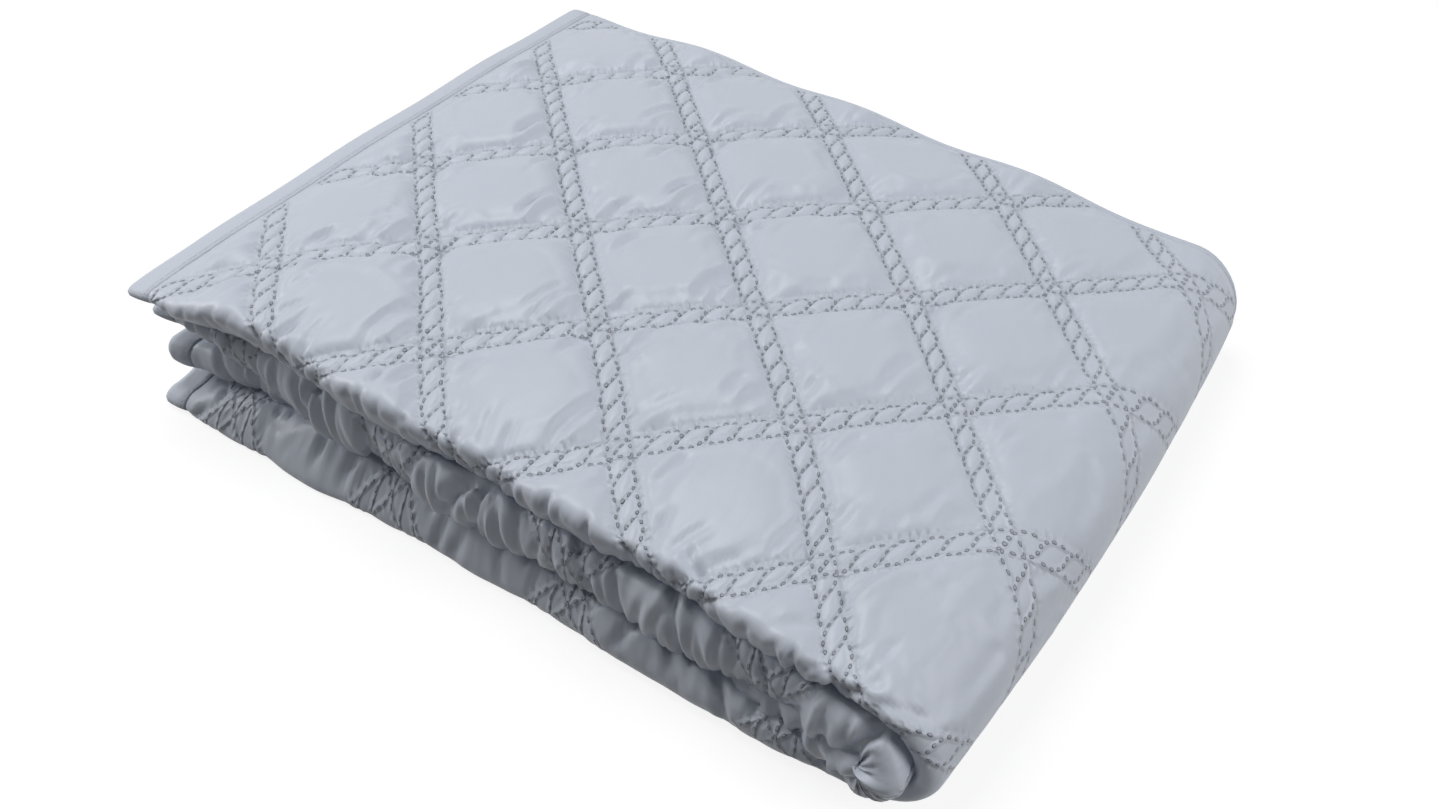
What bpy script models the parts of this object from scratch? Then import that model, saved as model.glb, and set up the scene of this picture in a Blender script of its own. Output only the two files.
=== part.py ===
"""Quilted mattress protector, folded flat as it is stored.

The protector is a soft laminate: a quilted face cloth, a sheet of wadding, a waterproof membrane
and a backing cloth, edged on its four sides by a hem tape. It is folded into four across its
length, to and fro, and the pack is then folded in half across its width, so eight plies lie
on each other. Its open end, with the hems, points to -X and the fold in half to +X. The face
cloth is outside, and the hem of its head edge hangs down over the far side, +Y.

Each layer is made open and flat, as a thin slab on a grid whose lines follow the quilting, and
every point of it is then carried through the same two folds. Metres, +Z up, with the origin
under the middle of the pack, on the surface it lies on.
"""

import math

import bmesh
import bpy

COLLECTION_NAME = "mattress_protector"

# Flat pad, as it is cut and hemmed
PAD_LENGTH = 1.400
PAD_WIDTH = 0.900
PANEL_COUNT = 4

# Quilting: bands that cross at 45 degrees to the folds, this far apart
QUILT_PITCH = 0.0752
QUILT_OFFSET_ALONG = 0.0501
QUILT_OFFSET_ACROSS = 0.0002
PUFF_RISE = 0.0026
BAND_DEPTH = 0.0022

# Layers, from the face to the back
FACE_THICKNESS = 0.0005
WADDING_THICKNESS = 0.0045
MEMBRANE_THICKNESS = 0.0003
BACKING_THICKNESS = 0.0005
LAYER_GAP = 0.0003
PLY_GAP = 0.0006

# Hem tape folded over each edge, where the wadding is pressed thin
HEM_WIDTH = 0.015
HEM_MARGIN = 0.002
TAPE_THICKNESS = 0.0005
TAPE_GAP = 0.0003
PRESSED_WADDING = 0.0010

# Folded pack
TURN_RADIUS = 0.0007
WRAP_MEAN_SHARE = 0.75
END_RISE = 0.0176
CROWN_ALONG = 0.0128
CROWN_ACROSS = 0.0085
SIDE_DRAW = 0.0035
END_DRAW = 0.0045
WRAP_SWELL = 0.0065
PLY_PINCH = 0.0012
END_RISE_START_SHARE = 0.8
CROWN_ALONG_POWER = 3.0
CROWN_ACROSS_POWER = 2.5

# Folds on the near face, -Y, at places along them, which are shares of the pad's width: how far
# each lies out from the face, in shares of the slide, and the outer one up, in shares of the lift.
# The outer fold joins the outer two plies of the stack, and the inner one the inner two.
FOLD_SLIDE = 0.010
FOLD_LIFT = 0.005
FOLD_REACH = 0.110
FOLD_PLACE_SHARES = (0.0, 0.08, 0.13, 0.22, 0.41, 0.455, 0.50, 0.545, 0.59, 0.67, 0.78, 0.87, 0.93, 1.0)
OUTER_SLIDE_SHARES = (0.0, -0.3, 0.0, 0.1, 0.0, -0.3, -0.9, -0.3, 0.4, 0.5, 0.4, 0.7, 0.6, 0.2)
INNER_SLIDE_SHARES = (-0.6, -0.9, -0.8, -0.6, -0.4, -0.2, 0.0, -0.2, -0.6, -1.2, -1.4, -1.4, -1.2, -0.6)
OUTER_LIFT_SHARES = (0.0, 0.8, 0.2, 0.0, 0.2, 0.8, 0.4, 0.0, 0.0, 0.0, 0.0, 0.0, 0.0, 0.0)

# Facets
FOLD_STEPS = 3
WRAP_STEPS = 5
HEM_STEPS = 3
INNER_PANEL_STEPS = 2
LOWER_HALF_STEPS = 4
CLOSEST_LINES_SHARE = 0.35

# Worked out from the sizes above
HALF_PITCH = QUILT_PITCH / math.sqrt(2)
SKINS_THICKNESS = FACE_THICKNESS + MEMBRANE_THICKNESS + BACKING_THICKNESS + 3 * LAYER_GAP
PLY_THICKNESS = SKINS_THICKNESS + WADDING_THICKNESS
PLY_PITCH = PLY_THICKNESS + PLY_GAP
FOLD_LENGTH = math.pi * PLY_PITCH / 2
HEM_STRIP = HEM_WIDTH + HEM_MARGIN
PANEL_LENGTH = (PAD_LENGTH - HEM_STRIP - (PANEL_COUNT - 1) * FOLD_LENGTH) / PANEL_COUNT
HALF_DEPTH = PANEL_LENGTH / 2
# The head hem bends down round the next fold on its side, one ply further out than that fold.
HANG_RADIUS = PLY_PITCH / 2 + PLY_PITCH
HANG_LEVEL = (PANEL_COUNT - 2) * PLY_PITCH
WRAP_RADIUS = TURN_RADIUS + PANEL_COUNT * PLY_PITCH
WRAP_LENGTH = math.pi * WRAP_RADIUS * WRAP_MEAN_SHARE
HALF_LENGTH = (PAD_WIDTH - WRAP_LENGTH) / 2
PACK_HEIGHT = 2 * WRAP_RADIUS
PACK_MIDDLE = (WRAP_RADIUS - HALF_LENGTH) / 2
HALF_PACK = (WRAP_RADIUS + HALF_LENGTH) / 2


def clamp(value, low, high):
    return max(low, min(high, value))


def quilt_lines(start, end, offset):
    """Places between start and end where the quilting crosses or a diamond has its middle."""
    first = math.ceil((start - offset) / HALF_PITCH)
    last = math.floor((end - offset) / HALF_PITCH)
    return [offset + n * HALF_PITCH for n in range(first, last + 1)]


def with_ends(start, lines, end):
    """start, the lines that keep clear of both ends, and end."""
    clear = HALF_PITCH * CLOSEST_LINES_SHARE
    return [start] + [x for x in lines if start + clear < x < end - clear] + [end]


def evenly(start, end, steps):
    return [start + (end - start) * n / steps for n in range(steps + 1)]


def joined(*runs):
    """The runs one after another, each shared end once."""
    lines = list(runs[0])
    for run in runs[1:]:
        lines += run[1:]
    return lines


def lines_along():
    """Grid lines of the flat pad along its length, from the head hem to the foot hem."""
    top_end = HEM_STRIP + PANEL_LENGTH
    quilting = quilt_lines(HEM_STRIP, top_end, QUILT_OFFSET_ALONG)
    runs = [evenly(0.0, HEM_WIDTH, HEM_STEPS), [HEM_WIDTH, HEM_STRIP]]
    runs.append(with_ends(HEM_STRIP, quilting, top_end))
    end = top_end
    for panel in range(1, PANEL_COUNT):
        start = end + FOLD_LENGTH
        runs.append(evenly(end, start, FOLD_STEPS))
        end = start + PANEL_LENGTH
        if panel < PANEL_COUNT - 1:
            runs.append(evenly(start, end, INNER_PANEL_STEPS))
    runs.append(evenly(start, PAD_LENGTH - HEM_STRIP, INNER_PANEL_STEPS))
    runs.append([PAD_LENGTH - HEM_STRIP, PAD_LENGTH])
    return joined(*runs)


def lines_across():
    """Grid lines of the flat pad across its width, further apart in the half that lies below."""
    quilting = quilt_lines(HEM_STRIP, HALF_LENGTH, QUILT_OFFSET_ACROSS)
    wrap_end = HALF_LENGTH + WRAP_LENGTH
    return joined(
        [0.0, HEM_STRIP],
        with_ends(HEM_STRIP, quilting, HALF_LENGTH),
        evenly(HALF_LENGTH, wrap_end, WRAP_STEPS),
        evenly(wrap_end, PAD_WIDTH - HEM_STRIP, LOWER_HALF_STEPS),
        [PAD_WIDTH - HEM_STRIP, PAD_WIDTH],
    )


def puff(along, across):
    """How far a point lies from the bands of quilting: 0 on a band, 1 in a diamond's middle."""
    u = (across - QUILT_OFFSET_ACROSS) / HALF_PITCH
    v = (along - QUILT_OFFSET_ALONG) / HALF_PITCH
    rising = (u + v) / 2
    falling = (u - v) / 2
    return 2 * min(abs(rising - round(rising)), abs(falling - round(falling)))


def hem_share(along, across):
    """1 under the hem tape, falling to 0 a tape's width further in."""
    edge = min(along, PAD_LENGTH - along, across, PAD_WIDTH - across)
    return 1 - clamp((edge - HEM_STRIP) / HEM_WIDTH, 0, 1)


def is_quilted_outside(along, across):
    """The upper panel and its way round the fold in half, whose diamonds show."""
    return along <= HEM_STRIP + PANEL_LENGTH and across <= HALF_LENGTH + WRAP_LENGTH / 2


def wadding_at(along, across):
    """Thickness of the wadding: full, puffed in a diamond, or pressed under the hem tape."""
    thickness = WADDING_THICKNESS
    if is_quilted_outside(along, across):
        thickness += (PUFF_RISE + BAND_DEPTH) * puff(along, across) - BAND_DEPTH
    return thickness + (PRESSED_WADDING - thickness) * hem_share(along, across)


def layer_faces(along, across):
    """Each layer's lower and upper face, measured from the middle of a ply towards its face side."""
    wadding = wadding_at(along, across)
    lift = (WADDING_THICKNESS - PRESSED_WADDING) / 2 * hem_share(along, across)
    backing = lift - PLY_THICKNESS / 2
    membrane = backing + BACKING_THICKNESS + LAYER_GAP
    filling = membrane + MEMBRANE_THICKNESS + LAYER_GAP
    face = filling + wadding + LAYER_GAP
    return {
        "backing_cloth": (backing, backing + BACKING_THICKNESS),
        "waterproof_membrane": (membrane, membrane + MEMBRANE_THICKNESS),
        "wadding": (filling, filling + wadding),
        "face_cloth": (face, face + FACE_THICKNESS),
    }


def fold_to_and_fro(along, offset):
    """Across and up in the stack of panels, for a place along the pad and a height above the ply."""
    if along < HEM_STRIP:
        angle = (HEM_STRIP - along) / HANG_RADIUS
        radius = HANG_RADIUS + offset
        return HALF_DEPTH + radius * math.sin(angle), HANG_LEVEL + radius * math.cos(angle)
    period = PANEL_LENGTH + FOLD_LENGTH
    panel = min(int((along - HEM_STRIP) / period), PANEL_COUNT - 1)
    travelled = along - HEM_STRIP - panel * period
    turn = 1 if panel % 2 == 0 else -1
    level = (PANEL_COUNT - panel) * PLY_PITCH - PLY_PITCH / 2
    if travelled <= PANEL_LENGTH or panel == PANEL_COUNT - 1:
        return turn * (HALF_DEPTH - travelled), level + turn * offset
    angle = math.pi * (travelled - PANEL_LENGTH) / FOLD_LENGTH
    radius = PLY_PITCH / 2 + turn * offset
    up = level - PLY_PITCH / 2 + radius * math.cos(angle)
    return -turn * (HALF_DEPTH + radius * math.sin(angle)), up


def fold_in_half(across, height):
    """Along and up in the pack, for a place across the pad and a height in the stack of panels."""
    radius = TURN_RADIUS + height
    if across <= HALF_LENGTH:
        return across - HALF_LENGTH, WRAP_RADIUS + radius
    if across >= HALF_LENGTH + WRAP_LENGTH:
        return HALF_LENGTH + WRAP_LENGTH - across, WRAP_RADIUS - radius
    angle = math.pi * (across - HALF_LENGTH) / WRAP_LENGTH
    return radius * math.sin(angle), WRAP_RADIUS + radius * math.cos(angle)


def share_at(shares, across):
    """The share at a place across the pad, between those given at the places along the folds."""
    place_share = across / PAD_WIDTH
    for n in range(1, len(FOLD_PLACE_SHARES)):
        start, end = FOLD_PLACE_SHARES[n - 1], FOLD_PLACE_SHARES[n]
        if place_share <= end:
            break
    travelled = clamp((place_share - start) / (end - start), 0, 1)
    return shares[n - 1] + (shares[n] - shares[n - 1]) * travelled


def shift_folds(along, across, y, height):
    """The stack of panels with the folds of its near face slid out or in, and the outer one lifted."""
    outer_pair_end = HEM_STRIP + 2 * PANEL_LENGTH + 3 / 2 * FOLD_LENGTH
    nearness = clamp((FOLD_REACH - HALF_DEPTH - y) / FOLD_REACH, 0, 1)
    nearness = nearness * nearness * (3 - 2 * nearness)
    if along >= outer_pair_end:
        return y - FOLD_SLIDE * share_at(INNER_SLIDE_SHARES, across) * nearness, height
    y -= FOLD_SLIDE * share_at(OUTER_SLIDE_SHARES, across) * nearness
    return y, height + FOLD_LIFT * share_at(OUTER_LIFT_SHARES, across) * nearness


def pinched(z, across):
    """Height in the pack once each pair of plies is drawn together at the open end."""
    double_ply = 2 * PLY_PITCH
    pair = clamp(math.floor(z / double_ply), 0, PANEL_COUNT - 1)
    above_middle = z - (pair + 1 / 2) * double_ply
    edge = min(across, PAD_WIDTH - across)
    return z - PLY_PINCH / PLY_PITCH * above_middle * (1 - clamp(edge / (2 * HEM_WIDTH), 0, 1))


def settle(x, y, z, across):
    """The pack as it lies: flat below, crowned, drawn in on three sides, and loose at its open end."""
    u = clamp((x - PACK_MIDDLE) / HALF_PACK, -1, 1)
    v = clamp(y / HALF_DEPTH, -1, 1)
    height_share = max(z - PLY_GAP / 2, 0) / PACK_HEIGHT
    rise = END_RISE * clamp((END_RISE_START_SHARE - u) / (END_RISE_START_SHARE + 1), 0, 1)
    crown = CROWN_ALONG * (1 - abs(u) ** CROWN_ALONG_POWER)
    crown += CROWN_ACROSS * (1 - abs(v) ** CROWN_ACROSS_POWER)
    up = pinched(z, across) + rise * height_share + crown * height_share**2
    end_move = WRAP_SWELL * u * u if u > 0 else -END_DRAW * u
    drawn_x = x - PACK_MIDDLE + end_move * (1 - v * v)
    drawn_y = y - SIDE_DRAW * v * (1 - u * u)
    return drawn_x, drawn_y, up


def folded(along, across, offset):
    """Where a point of the open, flat pad lies in the folded pack."""
    y, height = fold_to_and_fro(along, offset)
    y, height = shift_folds(along, across, y, height)
    x, z = fold_in_half(across, height)
    return settle(x, y, z, across)


def make_material(name, colour, roughness):
    material = bpy.data.materials.new(name)
    material.use_nodes = True
    shader = material.node_tree.nodes["Principled BSDF"]
    shader.inputs["Base Color"].default_value = (*colour, 1.0)
    shader.inputs["Roughness"].default_value = roughness
    shader.inputs["Metallic"].default_value = 0.0
    material.diffuse_color = (*colour, 1.0)
    return material


def flat_slab(rows, columns):
    """A closed slab on a grid of rows and columns, with each vertex's row, column and side."""
    bm = bmesh.new()
    bmesh.ops.create_grid(bm, x_segments=columns - 1, y_segments=rows - 1, size=1)
    row = bm.verts.layers.int.new("row")
    column = bm.verts.layers.int.new("column")
    side = bm.verts.layers.int.new("side")
    for vert in bm.verts:
        vert[column] = round((vert.co.x + 1) / 2 * (columns - 1))
        vert[row] = round((vert.co.y + 1) / 2 * (rows - 1))
    extruded = bmesh.ops.extrude_face_region(bm, geom=bm.faces[:])
    for item in extruded["geom"]:
        if isinstance(item, bmesh.types.BMVert):
            item.co.z += 1
            item[side] = 1
    bmesh.ops.recalc_face_normals(bm, faces=bm.faces[:])
    return bm, row, column, side


def split_along_bands(bm, row, column, rows, columns):
    """Cuts each four-sided face in two along the diagonal that lies nearer to a band of quilting."""
    for face in [f for f in bm.faces if len(f.verts) == 4]:
        places = [(v[row], v[column]) for v in face.verts]
        if len(set(places)) < 4:
            continue
        puffs = [puff(rows[r], columns[c]) for r, c in places]
        start = 0 if puffs[0] + puffs[2] <= puffs[1] + puffs[3] else 1
        bmesh.utils.face_split(face, face.verts[start], face.verts[start + 2])


def add_node(name, bm, material, collection):
    mesh = bpy.data.meshes.new(name)
    bm.to_mesh(mesh)
    bm.free()
    mesh.materials.append(material)
    mesh.shade_smooth()
    mesh.set_sharp_from_angle(angle=math.radians(60))
    obj = bpy.data.objects.new(name, mesh)
    collection.objects.link(obj)
    return obj


def make_layer(name, material, collection):
    """One layer of the laminate, made flat and then folded. It ends just inside the hem tapes."""
    margin = TAPE_THICKNESS + TAPE_GAP
    rows = lines_along()
    rows[0] += margin
    rows[-1] -= margin
    columns = lines_across()
    columns[0] += margin
    columns[-1] -= margin
    bm, row, column, side = flat_slab(len(rows), len(columns))
    split_along_bands(bm, row, column, rows, columns)
    for vert in bm.verts:
        along = rows[vert[row]]
        across = columns[vert[column]]
        offset = layer_faces(along, across)[name][vert[side]]
        vert.co = folded(along, across, offset)
    return add_node(name, bm, material, collection)


def tape_section():
    """Section of a folded tape, from one edge of it over the bend to the other.

    Each step across the tape has an inner and an outer place: how far in from the edge of the pad,
    and how far from the middle of the ply.
    """
    inner = (SKINS_THICKNESS + PRESSED_WADDING) / 2 + TAPE_GAP
    outer = inner + TAPE_THICKNESS
    legs = list(zip(evenly(HEM_WIDTH, TAPE_THICKNESS, HEM_STEPS), evenly(HEM_WIDTH, 0.0, HEM_STEPS)))
    upper = [((inside, inner), (outside, outer)) for inside, outside in legs]
    lower = [((inside, -inner), (outside, -outer)) for inside, outside in reversed(legs)]
    return upper + lower


def make_hem(name, material, collection, runs_along, at_end):
    """A tape folded over one edge of the pad."""
    section = tape_section()
    if runs_along:
        places = lines_along()
        end = PAD_WIDTH
    else:
        # The two shorter tapes stop short of the longer ones, which run on over the corners.
        clear = HEM_WIDTH + TAPE_GAP
        places = [x for x in lines_across() if clear < x < PAD_WIDTH - clear]
        places = [clear] + places + [PAD_WIDTH - clear]
        end = PAD_LENGTH
    bm, row, column, side = flat_slab(len(places), len(section))
    for vert in bm.verts:
        inwards, offset = section[vert[column]][vert[side]]
        from_edge = end - inwards if at_end else inwards
        place = places[vert[row]]
        if runs_along:
            vert.co = folded(place, from_edge, offset)
        else:
            vert.co = folded(from_edge, place, offset)
    return add_node(name, bm, material, collection)


def face_outwards(obj):
    """Turns the faces outwards where the fold has left the slab inside out."""
    bm = bmesh.new()
    bm.from_mesh(obj.data)
    if bm.calc_volume(signed=True) < 0:
        bmesh.ops.reverse_faces(bm, faces=bm.faces[:])
    bm.to_mesh(obj.data)
    bm.free()


def centre_on_origin(objects):
    """Moves the pack so that the origin is under the middle of its box, on its lowest face."""
    points = [vert.co for obj in objects for vert in obj.data.vertices]
    low = [min(point[axis] for point in points) for axis in range(3)]
    high = [max(point[axis] for point in points) for axis in range(3)]
    middle_x = (low[0] + high[0]) / 2
    middle_y = (low[1] + high[1]) / 2
    for obj in objects:
        for vert in obj.data.vertices:
            vert.co.x -= middle_x
            vert.co.y -= middle_y
            vert.co.z -= low[2]


def build():
    for obj in list(bpy.data.objects):
        bpy.data.objects.remove(obj, do_unlink=True)
    collection = bpy.data.collections.new(COLLECTION_NAME)
    bpy.context.scene.collection.children.link(collection)

    microfibre = make_material("face_microfibre", (0.66, 0.70, 0.76), 0.55)
    polyester = make_material("wadding_fibre", (0.82, 0.83, 0.84), 0.95)
    film = make_material("membrane_film", (0.72, 0.75, 0.78), 0.30)
    lining = make_material("backing_microfibre", (0.68, 0.71, 0.76), 0.70)
    tape = make_material("hem_microfibre", (0.64, 0.68, 0.74), 0.60)

    objects = [
        make_layer("face_cloth", microfibre, collection),
        make_layer("wadding", polyester, collection),
        make_layer("waterproof_membrane", film, collection),
        make_layer("backing_cloth", lining, collection),
        make_hem("upper_side_hem", tape, collection, True, False),
        make_hem("lower_side_hem", tape, collection, True, True),
        make_hem("head_hem", tape, collection, False, False),
        make_hem("foot_hem", tape, collection, False, True),
    ]
    for obj in objects:
        face_outwards(obj)
    centre_on_origin(objects)


build()
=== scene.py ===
"""Quilted mattress protector, folded flat: its cloths, wadding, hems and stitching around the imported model.

The pad is sewn flat and then folded, so each cloth here is a grid of places on the flat pad, in
metres along it and across it, which the same two folds carry into the pack.
"""

import math

import bpy
import numpy as np
from mathutils import Matrix, Vector


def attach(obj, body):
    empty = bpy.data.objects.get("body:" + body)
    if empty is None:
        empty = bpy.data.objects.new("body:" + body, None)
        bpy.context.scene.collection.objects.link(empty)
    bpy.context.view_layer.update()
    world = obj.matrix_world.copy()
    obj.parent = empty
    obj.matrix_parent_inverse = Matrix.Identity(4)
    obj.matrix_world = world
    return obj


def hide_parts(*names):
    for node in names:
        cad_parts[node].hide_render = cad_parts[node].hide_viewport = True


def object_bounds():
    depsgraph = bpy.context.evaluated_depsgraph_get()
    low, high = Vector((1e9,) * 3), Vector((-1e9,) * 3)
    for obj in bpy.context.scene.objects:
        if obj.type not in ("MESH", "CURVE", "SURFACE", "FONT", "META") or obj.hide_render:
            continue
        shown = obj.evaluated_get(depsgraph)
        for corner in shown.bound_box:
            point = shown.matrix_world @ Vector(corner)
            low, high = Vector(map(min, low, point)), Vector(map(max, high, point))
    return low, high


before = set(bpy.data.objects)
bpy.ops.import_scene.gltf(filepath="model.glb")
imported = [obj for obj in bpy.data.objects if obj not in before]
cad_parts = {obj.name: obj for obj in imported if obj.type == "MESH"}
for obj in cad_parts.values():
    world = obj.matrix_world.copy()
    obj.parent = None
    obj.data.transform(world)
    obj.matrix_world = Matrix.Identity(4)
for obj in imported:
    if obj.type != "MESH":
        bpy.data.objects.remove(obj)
cad_low, cad_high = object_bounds()

# The folded pad
# A soft laminate, hemmed on four sides, folded into four along its length, to and fro, and then
# in half across its width, so that eight plies lie on each other with the face cloth outside.
PAD_LENGTH = 1.400
PAD_WIDTH = 0.900
PANEL_COUNT = 4
PLY_PITCH = 0.0073
PLY_THICKNESS = 0.0067
HEM_WIDTH = 0.015
HEM_STRIP = 0.017
TURN_RADIUS = 0.0007
WRAP_MEAN_SHARE = 0.75
END_RISE = 0.0176
END_RISE_START_SHARE = 0.8
CROWN_ALONG = 0.0128
CROWN_ACROSS = 0.0085
CROWN_ALONG_POWER = 3.0
CROWN_ACROSS_POWER = 2.5
SIDE_DRAW = 0.0035
END_DRAW = 0.0045
WRAP_SWELL = 0.0065
EDGE_WAVE = 0.0018
END_WAVE_SHARE = 0.3
FAR_WAVE_START_SHARE = 0.6
END_WAVE_START_SHARE = 0.8
QUILT_PITCH = 0.0752
QUILT_ALONG = 0.0501
QUILT_ACROSS = 0.0002

FOLD_LENGTH = math.pi * PLY_PITCH / 2
PANEL_LENGTH = (PAD_LENGTH - HEM_STRIP - (PANEL_COUNT - 1) * FOLD_LENGTH) / PANEL_COUNT
PERIOD = PANEL_LENGTH + FOLD_LENGTH
TOP_END = HEM_STRIP + PANEL_LENGTH
OUTER_FOLD = TOP_END + FOLD_LENGTH / 2
INNER_FOLD = OUTER_FOLD + 2 * PERIOD
HALF_DEPTH = PANEL_LENGTH / 2
HANG_RADIUS = 1.5 * PLY_PITCH
HANG_LEVEL = (PANEL_COUNT - 2) * PLY_PITCH
WRAP_RADIUS = TURN_RADIUS + PANEL_COUNT * PLY_PITCH
WRAP_LENGTH = math.pi * WRAP_RADIUS * WRAP_MEAN_SHARE
HALF_LENGTH = (PAD_WIDTH - WRAP_LENGTH) / 2
PACK_HEIGHT = 2 * WRAP_RADIUS
DIAMOND = QUILT_PITCH * math.sqrt(2)
PACK_MIDDLE = (WRAP_RADIUS - HALF_LENGTH) / 2
HALF_PACK = (WRAP_RADIUS + HALF_LENGTH) / 2


def smooth_step(share):
    share = np.clip(share, 0, 1)
    return share * share * (3 - 2 * share)


def fold_to_and_fro(along, offset):
    """Across and up in the stack of panels, for places along the pad and heights above the ply."""
    beyond = along - HEM_STRIP
    panel = np.clip(np.floor(beyond / PERIOD), 0, PANEL_COUNT - 1)
    travelled = beyond - panel * PERIOD
    turn = np.where(panel % 2 == 0, 1.0, -1.0)
    level = (PANEL_COUNT - panel - 0.5) * PLY_PITCH
    flat = (travelled <= PANEL_LENGTH) | (panel == PANEL_COUNT - 1)
    angle = math.pi * (travelled - PANEL_LENGTH) / FOLD_LENGTH
    radius = PLY_PITCH / 2 + turn * offset
    y = np.where(flat, turn * (HALF_DEPTH - travelled), -turn * (HALF_DEPTH + radius * np.sin(angle)))
    up = np.where(flat, level + turn * offset, level - PLY_PITCH / 2 + radius * np.cos(angle))
    hang_angle = (HEM_STRIP - along) / HANG_RADIUS
    hang_radius = HANG_RADIUS + offset
    hangs = along < HEM_STRIP
    y = np.where(hangs, HALF_DEPTH + hang_radius * np.sin(hang_angle), y)
    up = np.where(hangs, HANG_LEVEL + hang_radius * np.cos(hang_angle), up)
    return y, up


def fold_in_half(across, height):
    """Along and up in the pack, for places across the pad and heights in the stack of panels."""
    radius = TURN_RADIUS + height
    angle = np.pi * np.clip((across - HALF_LENGTH) / WRAP_LENGTH, 0, 1)
    above = across <= HALF_LENGTH
    below = across >= HALF_LENGTH + WRAP_LENGTH
    x = np.where(above, across - HALF_LENGTH, radius * np.sin(angle))
    x = np.where(below, HALF_LENGTH + WRAP_LENGTH - across, x)
    return x, WRAP_RADIUS + radius * np.cos(angle)


# How the folds on the near face lie, at places across the flat pad: the outer fold is outermost in the
# pack, above and then below, and the inner fold lies within it. Out is away from the pack's face, lift
# is away from the pack's middle, and slope is how far the outer fold draws back on its inner side, all
# in millimetres. Swell is the share by which a fold is thicker than its two plies.
FOLD_PLACES = (
    0.0, 0.03, 0.07, 0.12, 0.20, 0.30, 0.37, 0.41, 0.45, 0.49, 0.53, 0.60, 0.70, 0.78, 0.84, 0.90,
)
OUTER_OUT = (0, 0, -3, 0, 0, 0, 1, 0, -5, -2, 4, 5, 4, 7, 6, 2)
OUTER_LIFT = (0, 1, 4, 1, 0, 0, 1, 2, 0, 0, 0, 0, 0, 0, 0, 0)
OUTER_SWELL = (-0.62, -0.42, -0.15, 0.0, 0.0, 0.0, 0.0, -0.2, -0.1, 0.0, 0.3, 0.4, 0.4, 0.4, 0.1, -0.5)
OUTER_SLOPE = (0, 2, 4, 5, 6, 6, 5, 3, 0, 0, 0, 3, 8, 13, 14, 10)
INNER_OUT = (-9, -11, -10, -6, -1, 0, 0, 3, 9, 7, -3, -13, -18, -20, -18, -10)
INNER_LIFT = (1, 2, 2, 1, -1, -1, 0, 3, 4, 3, 1, 0, 0, 0, 0, 0)
INNER_SWELL = (-0.6, -0.3, 0.2, 0.5, 0.5, 0.5, 0.5, 0.5, 0.5, 0.4, 0, 0, 0, 0, 0, 0)
MILLIMETRE = 0.001
OUT_REACH = 0.110
SWELL_REACH = 0.035
MOST_SLOPE_SHARE = 1.2
STRETCHED_HALF = 0.012
EASED_HALF = FOLD_LENGTH / 2
EASE_REACH = 0.072
WRAP_EASE = 0.008
WRAP_EASE_START = 0.30
WRAP_EASE_RISE = 0.13
WRAP_EASE_END = 0.75
WRAP_EASE_FALL = 0.25


def table_at(places, across):
    """A value between those of a table over the places of the folds, turning smoothly at each."""
    index = np.clip(np.searchsorted(FOLD_PLACES, across) - 1, 0, len(FOLD_PLACES) - 2)
    starts = np.array(FOLD_PLACES)[index]
    ends = np.array(FOLD_PLACES)[index + 1]
    share = smooth_step((across - starts) / (ends - starts))
    values = np.array(places, float)
    return values[index] * (1 - share) + values[index + 1] * share


def bulge_folds(along, across, y, height):
    """The stack of panels with the folds of its near face swollen, pushed out, lifted and sloped."""
    outer = along < HEM_STRIP + 2 * PERIOD - FOLD_LENGTH / 2
    outside = np.where(outer, PANEL_COUNT, PANEL_COUNT - 2) * PLY_PITCH
    out = np.where(outer, table_at(OUTER_OUT, across), table_at(INNER_OUT, across)) * MILLIMETRE
    lift = np.where(outer, table_at(OUTER_LIFT, across), table_at(INNER_LIFT, across)) * MILLIMETRE
    swell = np.where(outer, table_at(OUTER_SWELL, across), table_at(INNER_SWELL, across))
    slope = np.where(outer, table_at(OUTER_SLOPE, across), 0.0) * MILLIMETRE
    far = smooth_step((OUT_REACH - HALF_DEPTH - y) / OUT_REACH)
    near = smooth_step((SWELL_REACH - HALF_DEPTH - y) / SWELL_REACH)
    deep = (outside - height) * (1 + swell * near)
    inward = slope * np.clip(deep / (2 * PLY_PITCH), 0, MOST_SLOPE_SHARE)
    return y - out * far + inward * near, outside - deep + lift * far


def settle(x, y, z):
    """The pack as it lies: flat below, crowned, waved at its edges, and looser at its open end."""
    u = np.clip((x - PACK_MIDDLE) / HALF_PACK, -1, 1)
    v = np.clip(y / HALF_DEPTH, -1, 1)
    share = np.maximum(z, 0) / PACK_HEIGHT
    rise = END_RISE * np.clip((END_RISE_START_SHARE - u) / (END_RISE_START_SHARE + 1), 0, 1)
    crown = CROWN_ALONG * (1 - np.abs(u) ** CROWN_ALONG_POWER)
    crown = crown + CROWN_ACROSS * (1 - np.abs(v) ** CROWN_ACROSS_POWER)
    far_share = smooth_step((v - FAR_WAVE_START_SHARE) / (1 - FAR_WAVE_START_SHARE))
    end_share = smooth_step((-u - END_WAVE_START_SHARE) / (1 - END_WAVE_START_SHARE))
    far_wave = far_share * np.cos(2 * math.pi * (x + HALF_LENGTH) / DIAMOND)
    end_wave = -end_share * np.cos(2 * math.pi * (HALF_DEPTH - y + HEM_STRIP - QUILT_ALONG) / DIAMOND)
    wave = EDGE_WAVE * (far_wave + END_WAVE_SHARE * end_wave)
    up = z + rise * share + (crown + wave) * share**2
    end_move = np.where(u < 0, -END_DRAW * u, WRAP_SWELL * u * u)
    drawn_x = x - PACK_MIDDLE + end_move * (1 - v * v)
    drawn_y = y - SIDE_DRAW * v * (1 - u * u)
    return np.stack([drawn_x, drawn_y, up], axis=-1)


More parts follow.
